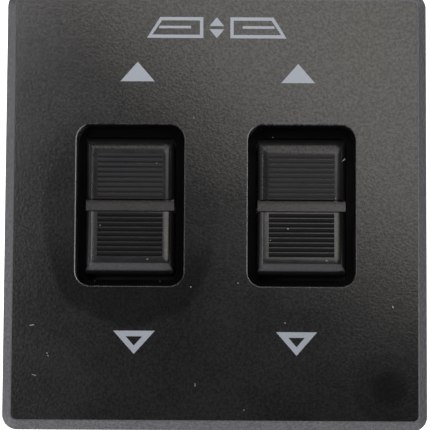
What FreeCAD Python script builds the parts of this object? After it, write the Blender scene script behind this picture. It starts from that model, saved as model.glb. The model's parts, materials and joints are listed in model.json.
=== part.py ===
import FreeCAD, Part
import math
import os

# Console switch for two power windows: a moulded face plate with two rocker buttons, and the
# switch mechanism behind it. All sizes are in millimetres. X runs across the plate, Y runs up it
# from the down arrows to the up arrows, and Z comes out of its face. Z = 0 is the flat underside
# of the plate's rim, where it sits on the console panel.

# Face plate
plate_width = 65.2
plate_height = 68.2
plate_corner_radius = 2.3
face_height = 2.6
face_wall = 1.6
face_edge_break = 0.2
rim_height = 1.2
bevel_width = 1.25
bevel_top = 2.2
seat_width = 3.0

# Rocker openings in the plate
rocker_spacing = 26.5
module_y = 0.5
opening_width = 16.7
opening_height = 25.1
opening_corner_radius = 2.3
opening_edge_break = 0.15
collar_wall = 1.2

# Rocker pins
pin_radius = 1.0
pivot_z = -4.0
pin_seat_clearance = 0.02
pin_running_clearance = 0.04
pin_cover_clearance = 0.05

# Moulded towers of the housing that stand in the plate's collars, and the rockers in them
tower_gap = 0.15
tower_wall = 1.2
tower_top = -2.2
rocker_side_clearance = 0.2
rocker_end_clearance = 0.65

# Rocker buttons
rocker_tilt_deg = 8.0
rocker_end_height = 2.3
rocker_valley_height = 1.5
rocker_skirt_bottom = -3.4
rocker_skin_underside = 0.1
rocker_wall = 1.2
rocker_side_round = 0.85
rocker_end_round = 1.5
rocker_corner_radius = 0.45
bar_width = 1.55
bar_height = 1.75
wide_relief = 0.3
wide_relief_depth = 0.6
thin_relief = 0.12
thin_relief_depth = 0.25
field_side_strip = 0.9
field_end_strip = 0.95
rib_pitch = 0.77
rib_crest = 0.1
rib_depth = 0.16
hub_radius = 2.1
web_thickness = 2.2

# Stem under each rocker, which pushes the contact carriage
stem_width = 4.0
stem_root_thickness = 2.8
stem_neck_thickness = 1.6
stem_tip_radius = 1.2
stem_reach = 9.0
stem_slot_clearance = 0.05
stem_side_clearance = 0.3
stem_swing_clearance = 0.4

# Return springs under the rocker ends
spring_offset = 6.6
spring_mean_radius = 1.5
spring_wire_radius = 0.24
spring_wire_sides = 6
spring_turns = 4
spring_steps = 10
spring_peg_width = 1.5
spring_peg_height = 1.2

# Housing
housing_width = 54.0
housing_height = 40.0
housing_wall = 1.5
housing_corner_radius = 2.0
flange_height = 54.0
flange_top = -5.2
flange_thickness = 2.0
well_floor_top = -8.0
well_floor_thickness = 1.2
stop_clearance = 0.08
stop_ledge_width = 1.6
chamber_wall = 1.2
chamber_to_terminals = 0.3

# Contact carriages
carriage_inset = 0.8
carriage_length = 13.8
carriage_top_clearance = 0.2
carriage_side_clearance = 0.2
carriage_end_clearance = 0.25
carriage_height = 5.8
contact_edge_margin = 0.9
contact_width = 2.0
contact_thickness = 0.3
contact_half_span = 3.0
contact_flat_half = 1.2
contact_tip_length = 0.45
contact_tip_rise = 0.4
contact_pocket_depth = 1.0
contact_pocket_clearance = 0.1
contact_gap = 0.03

# Terminals stamped from brass
terminal_thickness = 0.8
terminal_top = -16.2
track_width = 2.2
track_margin = 0.45
track_gap = 0.5
bus_width = 1.4
output_tab_width = 2.4
output_tab_reach = 2.05
blade_width = 6.3
blade_row_offset = 3.0
blade_tip_z = -28.0
blade_tip_chamfer = 1.0
blade_slot_clearance = 0.05

# Terminal base and connector shroud
base_thickness = 2.4
shroud_wall = 1.2
shroud_clear_x = 1.6
shroud_clear_y = 3.6
shroud_corner_radius = 1.0
shroud_bottom = -30.5
latch_width = 6.0
latch_depth = 1.2
latch_bottom = -29.0
latch_top = -25.5
key_width = 1.6
key_depth = 0.9
key_offset = 9.0

# Screws that hold the plate on the housing
screw_radius = 1.1
screw_head_across = 4.0
screw_head_height = 1.4
screw_boss_radius = 2.5
screw_thread_clearance = 0.02
screw_hole_clearance = 0.15
screw_tip_gap = 0.3
cover_screw_x = 20.0
cover_screw_y = 24.2
cover_screw_length = 7.0

# Snap tabs that hold the terminal base in the housing
snap_offset = 15.0
snap_width = 5.0
snap_thickness = 1.1
snap_height = 4.6
snap_hook_depth = 0.9
snap_hook_height = 1.6
snap_clearance = 0.1

# Sheet steel clips on the two sides of the housing
clip_thickness = 0.5
clip_width = 11.0
clip_top = -8.6
clip_bottom = -15.0
clip_turn_depth = 0.8
clip_turn_out = 0.75
clip_bulge = 2.55
clip_bulge_z = -5.4
clip_tip_out = 1.3
clip_tip_z = -2.7
clip_peg_radius = 1.0
clip_peg_z = -11.8
clip_peg_height = 1.1
clip_hole_clearance = 0.05

# Stiffening ribs under the plate
rib_wall = 1.0
rib_bottom = -1.2

# Length by which a cutting tool passes the surface that it cuts
overrun = 1.0

# Sizes that follow from the ones above
rocker_centres = {"left": -rocker_spacing / 2, "right": rocker_spacing / 2}
face_underside = face_height - face_wall
collar_bottom = pivot_z + pin_radius + pin_cover_clearance
tower_outer_width = opening_width - 2 * tower_gap
tower_outer_height = opening_height - 2 * tower_gap
tower_corner_radius = opening_corner_radius - tower_gap
well_width = tower_outer_width - 2 * tower_wall
well_height = tower_outer_height - 2 * tower_wall
well_corner_radius = tower_corner_radius - tower_wall
rocker_width = well_width - 2 * rocker_side_clearance
rocker_length = well_height - 2 * rocker_end_clearance
pad_slope = (rocker_end_height - rocker_valley_height) / (rocker_length / 2 - bar_width / 2)
pad_slope_deg = math.degrees(math.atan(pad_slope))
tilt = math.radians(rocker_tilt_deg)
carriage_width = rocker_width - 2 * carriage_inset
contact_offset = carriage_width / 2 - contact_edge_margin - contact_width / 2
carriage_travel = stem_reach * tilt
stem_tip_z = pivot_z - stem_reach
flange_bottom = flange_top - flange_thickness
well_floor_bottom = well_floor_top - well_floor_thickness
carriage_top = well_floor_bottom - carriage_top_clearance
carriage_bottom = carriage_top - carriage_height
chamber_width = carriage_width + 2 * carriage_side_clearance
chamber_length = carriage_length + 2 * carriage_travel + 2 * carriage_end_clearance
terminal_bottom = terminal_top - terminal_thickness
base_top = terminal_bottom
base_bottom = base_top - base_thickness
chamber_bottom = terminal_top + chamber_to_terminals
shroud_half_x = rocker_spacing / 2 + blade_width / 2 + shroud_clear_x
shroud_half_y = blade_row_offset + terminal_thickness / 2 + shroud_clear_y
housing_side = housing_width / 2


def block(x0, x1, y0, y1, z0, z1):
    """A rectangular block between two corners."""
    return Part.makeBox(x1 - x0, y1 - y0, z1 - z0, FreeCAD.Vector(x0, y0, z0))


def centred_block(x, y, width, height, z0, z1):
    """A rectangular block centred on x, y."""
    return block(x - width / 2, x + width / 2, y - height / 2, y + height / 2, z0, z1)


def rounded_outline(x, y, width, height, radius, z):
    """A closed rectangular outline with round corners, lying at height z."""
    plain = Part.makePlane(width, height, FreeCAD.Vector(x - width / 2, y - height / 2, z))
    if radius <= 0:
        return plain.OuterWire
    solid = plain.extrude(FreeCAD.Vector(0, 0, overrun))
    uprights = [edge for edge in solid.Edges if is_upright(edge)]
    solid = solid.makeFillet(radius, uprights)
    flat = [face for face in solid.Faces if abs(face.CenterOfMass.z - z) < 1e-6]
    return flat[0].OuterWire


def is_upright(edge):
    """True for a straight edge along Z."""
    ends = edge.Vertexes
    return len(ends) == 2 and abs(ends[0].Z - ends[1].Z) > 1e-3 and (
        math.hypot(ends[0].X - ends[1].X, ends[0].Y - ends[1].Y) < 1e-6
    )


def rounded_block(x, y, width, height, radius, z0, z1):
    """A block centred on x, y whose upright edges are round."""
    outline = rounded_outline(x, y, width, height, radius, z0)
    return Part.Face(outline).extrude(FreeCAD.Vector(0, 0, z1 - z0))


def upright_cylinder(x, y, radius, z0, z1):
    """A round bar along Z."""
    return Part.makeCylinder(radius, z1 - z0, FreeCAD.Vector(x, y, z0))


def cross_cylinder(x0, x1, y, z, radius):
    """A round bar along X."""
    return Part.makeCylinder(radius, x1 - x0, FreeCAD.Vector(x0, y, z), FreeCAD.Vector(1, 0, 0))


def prism_along_x(points, x0, x1):
    """A prism along X whose section is given by its y, z corners."""
    corners = [FreeCAD.Vector(x0, y, z) for y, z in points]
    outline = Part.makePolygon(corners + [corners[0]])
    return Part.Face(outline).extrude(FreeCAD.Vector(x1 - x0, 0, 0))


def prism_along_y(points, y0, y1):
    """A prism along Y whose section is given by its x, z corners."""
    corners = [FreeCAD.Vector(x, y0, z) for x, z in points]
    outline = Part.makePolygon(corners + [corners[0]])
    return Part.Face(outline).extrude(FreeCAD.Vector(0, y1 - y0, 0))


def strip_section(path, thickness):
    """The outline of a bent sheet of even thickness whose middle follows a path of flat points."""
    steps = []
    for start, end in zip(path, path[1:]):
        length = math.hypot(end[0] - start[0], end[1] - start[1])
        steps.append(((end[0] - start[0]) / length, (end[1] - start[1]) / length))
    near, far = [], []
    for index, (a, b) in enumerate(path):
        before = steps[max(index - 1, 0)]
        after = steps[min(index, len(steps) - 1)]
        share = thickness / 2 / (1 + before[0] * after[0] + before[1] * after[1])
        across = (-(before[1] + after[1]) * share, (before[0] + after[0]) * share)
        near.append((a + across[0], b + across[1]))
        far.append((a - across[0], b - across[1]))
    return near + far[::-1]


def edges_round(solid, z, x, half_width):
    """The edges at height z that lie within half_width of the line at x."""
    found = []
    for edge in solid.Edges:
        box = edge.BoundBox
        level = abs(box.ZMin - z) < 1e-4 and abs(box.ZMax - z) < 1e-4
        if level and box.XMin > x - half_width - 1e-3 and box.XMax < x + half_width + 1e-3:
            found.append(edge)
    return found


def corners_of(half_x, half_y):
    """The four places at plus and minus half_x, half_y about the middle of the mechanism."""
    return [(sx * half_x, module_y + sy * half_y) for sx in (-1, 1) for sy in (-1, 1)]


def plate_outside():
    """The plate's outer form: rim, sloping bevel and the face standing a small step above it."""
    rim = rounded_block(0, 0, plate_width, plate_height, plate_corner_radius, 0, rim_height)
    inner_width = plate_width - 2 * bevel_width
    inner_height = plate_height - 2 * bevel_width
    inner_radius = plate_corner_radius - bevel_width
    low = rounded_outline(0, 0, plate_width, plate_height, plate_corner_radius, rim_height)
    high = rounded_outline(0, 0, inner_width, inner_height, inner_radius, bevel_top)
    bevel = Part.makeLoft([low, high], True, True)
    face = rounded_block(0, 0, inner_width, inner_height, inner_radius, bevel_top, face_height)
    face = face.makeChamfer(face_edge_break, edges_round(face, face_height, 0, inner_width / 2))
    return rim.fuse([bevel, face])


def plate_ribs():
    """Stiffening ribs under the face, from the collars to the rim."""
    half_x = plate_width / 2 - seat_width
    half_y = plate_height / 2 - seat_width
    collar_half_y = opening_height / 2 + collar_wall
    ribs = []
    for x in rocker_centres.values():
        ribs.append(block(x - rib_wall / 2, x + rib_wall / 2,
                          module_y + collar_half_y - rib_wall / 2, half_y,
                          rib_bottom, face_underside))
        ribs.append(block(x - rib_wall / 2, x + rib_wall / 2,
                          -half_y, module_y - collar_half_y + rib_wall / 2,
                          rib_bottom, face_underside))
    collar_inner_x = rocker_spacing / 2 - opening_width / 2 - collar_wall / 2
    ribs.append(block(-collar_inner_x, collar_inner_x,
                      module_y - rib_wall / 2, module_y + rib_wall / 2,
                      rib_bottom, face_underside))
    collar_outer_x = rocker_spacing / 2 + opening_width / 2 + collar_wall / 2
    for side in (-1, 1):
        near = side * collar_outer_x
        far = side * half_x
        ribs.append(block(min(near, far), max(near, far),
                          module_y - rib_wall / 2, module_y + rib_wall / 2,
                          rib_bottom, face_underside))
    return ribs


def make_face_plate():
    """The moulded plate with its rim, collars round the two openings, ribs and screw bosses."""
    plate = plate_outside()
    hollow_radius = max(plate_corner_radius - seat_width, 0)
    hollow = rounded_block(0, 0, plate_width - 2 * seat_width, plate_height - 2 * seat_width,
                           hollow_radius, -overrun, face_underside)
    plate = plate.cut(hollow)
    additions = plate_ribs()
    for x in rocker_centres.values():
        additions.append(rounded_block(x, module_y,
                                       opening_width + 2 * collar_wall,
                                       opening_height + 2 * collar_wall,
                                       opening_corner_radius + collar_wall,
                                       collar_bottom, face_underside))
    for x, y in corners_of(cover_screw_x, cover_screw_y):
        additions.append(upright_cylinder(x, y, screw_boss_radius, flange_top, face_underside))
    plate = plate.fuse(additions).removeSplitter()
    screw_top = flange_bottom + cover_screw_length + screw_tip_gap
    tools = []
    for x in rocker_centres.values():
        tools.append(rounded_block(x, module_y, opening_width, opening_height,
                                   opening_corner_radius,
                                   collar_bottom - overrun, face_height + overrun))
    for x, y in corners_of(cover_screw_x, cover_screw_y):
        tools.append(upright_cylinder(x, y, screw_radius + screw_thread_clearance,
                                      flange_top - overrun, screw_top))
    plate = plate.cut(tools)
    rims = []
    for x in rocker_centres.values():
        rims.extend(edges_round(plate, face_height, x, opening_width / 2))
    return plate.makeChamfer(opening_edge_break, rims)


def pad_blank(side):
    """One half of a rocker outside the bar. Its round end and round sides meet in mitres."""
    half = rocker_width / 2
    near = bar_width / 2
    far = rocker_length / 2
    section = [
        (side * near, rocker_skirt_bottom),
        (side * near, rocker_valley_height),
        (side * far, rocker_end_height),
        (side * far, rocker_skirt_bottom),
    ]
    pad = prism_along_x(section, -half, half)
    end = [edge for edge in pad.Edges
           if abs(edge.CenterOfMass.y - side * far) < 1e-6
           and abs(edge.CenterOfMass.z - rocker_end_height) < 1e-6]
    pad = pad.makeFillet(rocker_end_round, end)
    return pad.common(crowned_bar(side))


def crowned_bar(side):
    """A long bar under the slope of one pad, whose two upper edges are round."""
    half = rocker_width / 2
    bar = block(-half, half, -rocker_length, rocker_length, -rocker_length, 0)
    upper = [edge for edge in bar.Edges
             if abs(edge.CenterOfMass.z) < 1e-6 and abs(edge.CenterOfMass.y) < 1e-6]
    bar = bar.makeFillet(rocker_side_round, upper)
    bar.rotate(FreeCAD.Vector(0, 0, 0), FreeCAD.Vector(1, 0, 0), side * pad_slope_deg)
    bar.translate(FreeCAD.Vector(0, side * bar_width / 2, rocker_valley_height))
    return bar


def pad_surface_height(y):
    """Height of a pad's flat top at a distance y from the rocker's middle."""
    return rocker_valley_height + (y - bar_width / 2) * pad_slope


def rib_grooves(side):
    """The V grooves that leave thin ribs across one pad."""
    half = rocker_width / 2 - rocker_side_round - field_side_strip
    relief = wide_relief if side > 0 else thin_relief
    start = bar_width / 2 + relief + rib_crest / 2
    end = rocker_length / 2 - rocker_end_round - field_end_strip
    count = round((end - start) / rib_pitch)
    groove_half = (rib_pitch - rib_crest) / 2
    first = (start + end - (count - 1) * rib_pitch) / 2
    grooves = []
    for index in range(count):
        y = first + index * rib_pitch
        top = pad_surface_height(y)
        flank = groove_half / rib_depth
        rise = rib_depth / 4
        lean = groove_half * pad_slope
        section = [
            (side * y, top - rib_depth),
            (side * (y + groove_half + flank * rise), top + lean + rise),
            (side * (y - groove_half - flank * rise), top - lean + rise),
        ]
        grooves.append(prism_along_x(section, -half, half))
    return grooves


def pad_reliefs():
    """The wide relief above the bar and the thin one below it."""
    half = rocker_width / 2 + overrun
    near = bar_width / 2
    top = rocker_end_height + overrun
    wide = block(-half, half, near, near + wide_relief,
                 rocker_valley_height - wide_relief_depth, top)
    thin = block(-half, half, -near - thin_relief, -near,
                 rocker_valley_height - thin_relief_depth, top)
    return [wide, thin]


def rocker_stem():
    """The tapered stem and its round tip, which reach down into the carriage."""
    root = stem_root_thickness / 2
    neck = stem_neck_thickness / 2
    half = stem_width / 2
    section = [(-root, pivot_z), (root, pivot_z), (neck, stem_tip_z), (-neck, stem_tip_z)]
    shank = prism_along_x(section, -half, half)
    tip = cross_cylinder(-half, half, 0, stem_tip_z, stem_tip_radius)
    return shank.fuse(tip)


def make_rocker(centre_x):
    """A rocker button: a hollow moulding with two ribbed pads, a bar, a hub and a stem."""
    half = rocker_width / 2
    inner = half - rocker_wall
    web = web_thickness / 2
    middle = block(-half, half, -bar_width / 2, bar_width / 2, rocker_skirt_bottom, bar_height)
    shell = pad_blank(1).fuse([pad_blank(-1), middle])
    shell = shell.common(rounded_block(0, 0, rocker_width, rocker_length, rocker_corner_radius,
                                       rocker_skirt_bottom, rocker_end_height))
    hollows = []
    for side in (-1, 1):
        near = side * web
        far = side * (rocker_length / 2 - rocker_wall)
        hollows.append(block(-inner, inner, min(near, far), max(near, far),
                             rocker_skirt_bottom - overrun, rocker_skin_underside))
    hollows.extend(pad_reliefs())
    hollows.extend(rib_grooves(1))
    hollows.extend(rib_grooves(-1))
    shell = shell.cut(hollows)
    additions = [
        cross_cylinder(-half, half, 0, pivot_z, hub_radius),
        block(-inner, inner, -web, web, pivot_z, rocker_skin_underside),
        rocker_stem(),
    ]
    for side in (-1, 1):
        additions.append(centred_block(0, side * spring_offset,
                                       spring_peg_width, spring_peg_width,
                                       rocker_skin_underside - spring_peg_height,
                                       rocker_skin_underside))
    rocker = shell.fuse(additions).removeSplitter()
    bore = cross_cylinder(-half - overrun, half + overrun, 0, pivot_z,
                          pin_radius + pin_running_clearance)
    rocker = rocker.cut(bore)
    rocker.translate(FreeCAD.Vector(centre_x, module_y, 0))
    return rocker


def make_pivot_pin(centre_x):
    """The steel pin that one rocker turns on, flush with the outside of the tower."""
    half = tower_outer_width / 2
    return cross_cylinder(centre_x - half, centre_x + half, module_y, pivot_z, pin_radius)


def wire_section(start, along):
    """The many-sided section of the spring wire at its start, square to the wire."""
    outward = FreeCAD.Vector(1, 0, 0)
    outward = (outward - along * outward.dot(along)).normalize()
    upward = along.cross(outward)
    corners = []
    for index in range(spring_wire_sides):
        turn = 2 * math.pi * (index + 0.5) / spring_wire_sides
        spoke = outward * math.cos(turn) + upward * math.sin(turn)
        corners.append(start + spoke * spring_wire_radius)
    return Part.makePolygon(corners + [corners[0]])


def make_return_spring(centre_x, side):
    """A coil spring with ground ends, standing on the well floor under one end of a rocker."""
    length = rocker_skin_underside - well_floor_top
    pitch = length / spring_turns
    points = []
    for index in range((spring_turns + 1) * spring_steps + 1):
        turn = index / spring_steps
        points.append(FreeCAD.Vector(spring_mean_radius * math.cos(2 * math.pi * turn),
                                     spring_mean_radius * math.sin(2 * math.pi * turn),
                                     pitch * (turn - 0.5)))
    sweep = Part.BRepOffsetAPI.MakePipeShell(Part.makePolygon(points))
    sweep.setTransitionMode(1)
    sweep.add(wire_section(points[0], (points[1] - points[0]).normalize()))
    sweep.build()
    sweep.makeSolid()
    reach = spring_mean_radius + spring_wire_radius + overrun
    spring = sweep.shape().common(block(-reach, reach, -reach, reach, 0, length)).Solids[0]
    spring.translate(FreeCAD.Vector(centre_x, module_y + side * spring_offset, well_floor_top))
    return spring


def housing_walls():
    """The flange, the outer wall, the two wells and the two carriage chambers, still solid."""
    outer = rounded_block(0, module_y, housing_width, housing_height, housing_corner_radius,
                          base_top, flange_top)
    inside = centred_block(0, module_y, housing_width - 2 * housing_wall,
                           housing_height - 2 * housing_wall, base_top - overrun, flange_bottom)
    flange = rounded_block(0, module_y, housing_width, flange_height, housing_corner_radius,
                           flange_bottom, flange_top)
    pieces = [flange]
    for x in rocker_centres.values():
        pieces.append(rounded_block(x, module_y, tower_outer_width, tower_outer_height,
                                    tower_corner_radius, well_floor_bottom, tower_top))
        pieces.append(centred_block(x, module_y, chamber_width + 2 * chamber_wall,
                                    chamber_length + 2 * chamber_wall,
                                    chamber_bottom, well_floor_bottom))
    for side in (-1, 1):
        near = side * housing_side
        far = side * (housing_side + clip_peg_height)
        pieces.append(cross_cylinder(min(near, far), max(near, far), module_y,
                                     clip_peg_z, clip_peg_radius))
    return outer.cut(inside).fuse(pieces)


def well_cuts(x):
    """What one rocker's well, stop ledges, stem slot, pin notches and chamber take out."""
    swing = math.cos(tilt) * (rocker_skirt_bottom - pivot_z)
    ledge_top = pivot_z + swing - math.sin(tilt) * rocker_length / 2 - stop_clearance
    ledge_y = well_height / 2 - stop_ledge_width
    upper = rounded_block(x, module_y, well_width, well_height, well_corner_radius,
                          ledge_top, tower_top + overrun)
    lower = centred_block(x, module_y, well_width, 2 * ledge_y, well_floor_top, ledge_top)
    depth = pivot_z - well_floor_bottom
    slot_half = stem_root_thickness / 2 + depth * math.tan(tilt) + stem_swing_clearance
    slot = centred_block(x, module_y, stem_width + 2 * stem_side_clearance, 2 * slot_half,
                         well_floor_bottom - overrun, well_floor_top + overrun)
    pin_half = tower_outer_width / 2 + overrun
    pin_hole = cross_cylinder(x - pin_half, x + pin_half, module_y, pivot_z,
                              pin_radius + pin_seat_clearance)
    chamber = centred_block(x, module_y, chamber_width, chamber_length,
                            chamber_bottom - overrun, well_floor_bottom)
    return [upper, lower, slot, pin_hole, chamber]


def snap_windows():
    """The windows in the housing's long walls that the base's snap tabs click into."""
    windows = []
    low = base_top + snap_height - snap_hook_height - snap_clearance
    high = base_top + snap_height + snap_clearance
    for x, y in corners_of(snap_offset, housing_height / 2 - housing_wall / 2):
        windows.append(centred_block(x, y, snap_width + 2 * snap_clearance, 2 * housing_wall,
                                     low, high))
    return windows


def make_switch_housing():
    """The moulded housing behind the plate."""
    housing = housing_walls()
    tools = []
    for x in rocker_centres.values():
        tools.extend(well_cuts(x))
    for x, y in corners_of(cover_screw_x, cover_screw_y):
        tools.append(upright_cylinder(x, y, screw_radius + screw_hole_clearance,
                                      flange_bottom - overrun, flange_top + overrun))
    housing = housing.cut(tools + snap_windows())
    pegs = []
    for x in rocker_centres.values():
        for side in (-1, 1):
            pegs.append(centred_block(x, module_y + side * spring_offset,
                                      spring_peg_width, spring_peg_width,
                                      well_floor_top, well_floor_top + spring_peg_height))
    return housing.fuse(pegs).removeSplitter()


def make_carriage(centre_x):
    """The sliding block with its slot for the stem and two pockets for the contacts."""
    body = centred_block(0, 0, carriage_width, carriage_length, carriage_bottom, carriage_top)
    upper = [edge for edge in body.Edges if is_upright(edge)]
    body = body.makeChamfer(carriage_side_clearance * 2, upper)
    slot_half = stem_tip_radius + stem_slot_clearance
    slot_width = stem_width + 2 * stem_side_clearance
    slot = centred_block(0, 0, slot_width, 2 * slot_half,
                         carriage_bottom - overrun, carriage_top + overrun)
    lag = math.sin(tilt) * (carriage_top - stem_tip_z)
    mouth_half = stem_root_thickness / 2 + lag
    flare = [
        (-slot_half, stem_tip_z + stem_tip_radius / 2),
        (slot_half, stem_tip_z + stem_tip_radius / 2),
        (mouth_half, carriage_top),
        (mouth_half, carriage_top + overrun),
        (-mouth_half, carriage_top + overrun),
        (-mouth_half, carriage_top),
    ]
    tools = [slot, prism_along_x(flare, -slot_width / 2, slot_width / 2)]
    pocket_length = 2 * (contact_half_span + contact_tip_length + contact_thickness)
    for side in (-1, 1):
        tools.append(centred_block(side * contact_offset, 0,
                                   contact_width + 2 * contact_pocket_clearance, pocket_length,
                                   carriage_bottom - overrun,
                                   carriage_bottom + contact_pocket_depth))
    body = body.cut(tools)
    body.translate(FreeCAD.Vector(centre_x, module_y, 0))
    return body


def contact_section(bend_z):
    """The bridge's section: a flat middle, two arms down to bend_z and turned-up tips."""
    middle_z = carriage_bottom + contact_pocket_depth - contact_thickness / 2
    half_path = [
        (contact_flat_half, middle_z),
        (contact_half_span, bend_z),
        (contact_half_span + contact_tip_length, bend_z + contact_tip_rise),
    ]
    path = [(module_y - y, z) for y, z in half_path[::-1]]
    path += [(module_y + y, z) for y, z in half_path]
    return strip_section(path, contact_thickness)


def make_bridge_contact(centre_x, side):
    """A spring copper bridge under one side of a carriage, a small gap above the terminals."""
    rest_z = terminal_top + contact_gap
    trial_z = rest_z + contact_thickness
    lowest = min(z for y, z in contact_section(trial_z))
    section = contact_section(trial_z + rest_z - lowest)
    x = centre_x + side * contact_offset
    return prism_along_x(section, x - contact_width / 2, x + contact_width / 2)


def blade(x, side, z_top):
    """A connector blade with clipped tip corners, hanging from z_top."""
    half = blade_width / 2
    clip = blade_tip_chamfer
    section = [
        (x - half, z_top),
        (x + half, z_top),
        (x + half, blade_tip_z + clip),
        (x + half - clip, blade_tip_z),
        (x - half + clip, blade_tip_z),
        (x - half, blade_tip_z + clip),
    ]
    y = module_y + side * blade_row_offset
    return prism_along_y(section, y - terminal_thickness / 2, y + terminal_thickness / 2)


def track(x0, x1, y0, y1):
    """A flat piece of a terminal, lying on the base; y is measured from the mechanism's middle."""
    low = min(y0, y1) + module_y
    high = max(y0, y1) + module_y
    return block(min(x0, x1), max(x0, x1), low, high, terminal_bottom, terminal_top)


def track_limits():
    """Where the tracks start and end along Y on either side of a contact's bumps."""
    inner = contact_half_span - carriage_travel - track_margin
    outer = contact_half_span + carriage_travel + track_margin
    earth_end = contact_half_span + track_margin
    supply_start = earth_end + track_gap
    return inner, outer, earth_end, supply_start


def make_output_terminal(centre_x, side):
    """The track and blade that feed one side of one window motor."""
    inner, outer, earth_end, supply_start = track_limits()
    x = centre_x + side * contact_offset
    pad = track(x - track_width / 2, x + track_width / 2, side * inner, side * outer)
    tab = track(centre_x - side * output_tab_reach, x,
                side * blade_row_offset - output_tab_width / 2,
                side * blade_row_offset + output_tab_width / 2)
    return pad.fuse([tab, blade(centre_x, side, terminal_bottom)]).removeSplitter()


def make_earth_terminal():
    """The bar that links the four earth tracks, and its blade."""
    inner, outer, earth_end, supply_start = track_limits()
    bar_half = inner - track_gap
    reach = rocker_spacing / 2 + contact_offset + track_width / 2
    pieces = []
    for x in rocker_centres.values():
        for side in (-1, 1):
            pad_x = x + side * contact_offset
            pieces.append(track(pad_x - track_width / 2, pad_x + track_width / 2,
                                0, -side * earth_end))
    pieces.append(track(-blade_width / 2, blade_width / 2,
                        0, -blade_row_offset - terminal_thickness / 2))
    pieces.append(blade(0, -1, terminal_bottom))
    return track(-reach, reach, -bar_half, bar_half).fuse(pieces).removeSplitter()


def make_supply_terminal():
    """The bus round the contacts that feeds the four supply tracks, and its blade."""
    inner, outer, earth_end, supply_start = track_limits()
    bus_inner = outer + track_gap
    bus_outer = bus_inner + bus_width
    reach = rocker_spacing / 2 + contact_offset + track_width / 2
    link_inner = reach + track_gap
    link_outer = link_inner + bus_width
    pieces = []
    for x in rocker_centres.values():
        for side in (-1, 1):
            pad_x = x + side * contact_offset
            pieces.append(track(pad_x - track_width / 2, pad_x + track_width / 2,
                                -side * supply_start, -side * bus_inner))
    pieces.append(track(-reach, link_outer, -bus_outer, -bus_inner))
    pieces.append(track(link_inner, link_outer, -bus_outer, bus_outer))
    pieces.append(track(-blade_width / 2, blade_width / 2,
                        blade_row_offset - terminal_thickness / 2, bus_inner))
    pieces.append(blade(0, 1, terminal_bottom))
    return track(-reach, link_outer, bus_inner, bus_outer).fuse(pieces).removeSplitter()


def shroud_latch():
    """The locking ramp for the connector's latch, on the upper side of the shroud."""
    wall_y = module_y + shroud_half_y + shroud_wall
    section = [
        (wall_y - shroud_wall / 2, latch_top),
        (wall_y + latch_depth, latch_top),
        (wall_y, latch_bottom),
        (wall_y - shroud_wall / 2, latch_bottom),
    ]
    return prism_along_x(section, -latch_width / 2, latch_width / 2)


def snap_tabs():
    """Four tabs that stand on the base inside the housing, with hooks for its windows."""
    inner = housing_height / 2 - housing_wall - snap_clearance
    tip = base_top + snap_height
    tabs = []
    for side in (-1, 1):
        section = [
            (inner - snap_thickness, base_top),
            (inner, base_top),
            (inner, tip - snap_hook_height),
            (inner + snap_hook_depth, tip - snap_hook_height),
            (inner, tip),
            (inner - snap_thickness, tip),
        ]
        outline = [(module_y + side * y, z) for y, z in section]
        for x in (-snap_offset, snap_offset):
            tabs.append(prism_along_x(outline, x - snap_width / 2, x + snap_width / 2))
    return tabs


def make_terminal_base():
    """The moulded base with its blade slots, snap tabs and the connector shroud."""
    base = rounded_block(0, module_y, housing_width, housing_height, housing_corner_radius,
                         base_bottom, base_top)
    shroud = rounded_block(0, module_y, 2 * (shroud_half_x + shroud_wall),
                           2 * (shroud_half_y + shroud_wall),
                           shroud_corner_radius + shroud_wall, shroud_bottom, base_bottom)
    socket = rounded_block(0, module_y, 2 * shroud_half_x, 2 * shroud_half_y,
                           shroud_corner_radius, shroud_bottom - overrun, base_bottom)
    shroud = shroud.cut(socket)
    keys = []
    for side in (-1, 1):
        keys.append(block(side * key_offset - key_width / 2, side * key_offset + key_width / 2,
                          module_y - shroud_half_y - shroud_wall / 2,
                          module_y - shroud_half_y + key_depth, shroud_bottom, base_bottom))
    base = base.fuse([shroud, shroud_latch()] + keys + snap_tabs()).removeSplitter()
    tools = []
    for x in (-rocker_spacing / 2, 0, rocker_spacing / 2):
        for side in (-1, 1):
            tools.append(centred_block(x, module_y + side * blade_row_offset,
                                       blade_width + 2 * blade_slot_clearance,
                                       terminal_thickness + 2 * blade_slot_clearance,
                                       base_bottom - overrun, base_top + overrun))
    return base.cut(tools)


def hexagon_block(x, y, across_flats, z0, z1):
    """An upright six-sided block."""
    radius = across_flats / math.sqrt(3)
    turns = [math.pi / 3 * index for index in range(7)]
    corners = [FreeCAD.Vector(x + radius * math.cos(turn), y + radius * math.sin(turn), z0)
               for turn in turns]
    return Part.Face(Part.makePolygon(corners)).extrude(FreeCAD.Vector(0, 0, z1 - z0))


def make_cover_screws():
    """The four hexagon screws that hold the plate on the housing, as separate solids."""
    screws = []
    for x, y in corners_of(cover_screw_x, cover_screw_y):
        shank = upright_cylinder(x, y, screw_radius, flange_bottom,
                                 flange_bottom + cover_screw_length)
        head = hexagon_block(x, y, screw_head_across,
                             flange_bottom - screw_head_height, flange_bottom)
        screws.append(shank.fuse(head).removeSplitter())
    return Part.makeCompound(screws)


def make_spring_clip(side):
    """The sheet steel clip that springs out behind the console panel, on one side."""
    wall = housing_side + clip_thickness / 2
    path = [
        (side * wall, clip_top),
        (side * wall, clip_bottom),
        (side * (wall + clip_turn_out), clip_bottom - clip_turn_depth),
        (side * (wall + clip_bulge), clip_bulge_z),
        (side * (wall + clip_tip_out), clip_tip_z),
    ]
    clip = prism_along_y(strip_section(path, clip_thickness),
                         module_y - clip_width / 2, module_y + clip_width / 2)
    near = side * (housing_side - overrun)
    far = side * (housing_side + clip_thickness + clip_turn_out / 2)
    hole = cross_cylinder(min(near, far), max(near, far), module_y, clip_peg_z,
                          clip_peg_radius + clip_hole_clearance)
    return clip.cut(hole)


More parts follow.
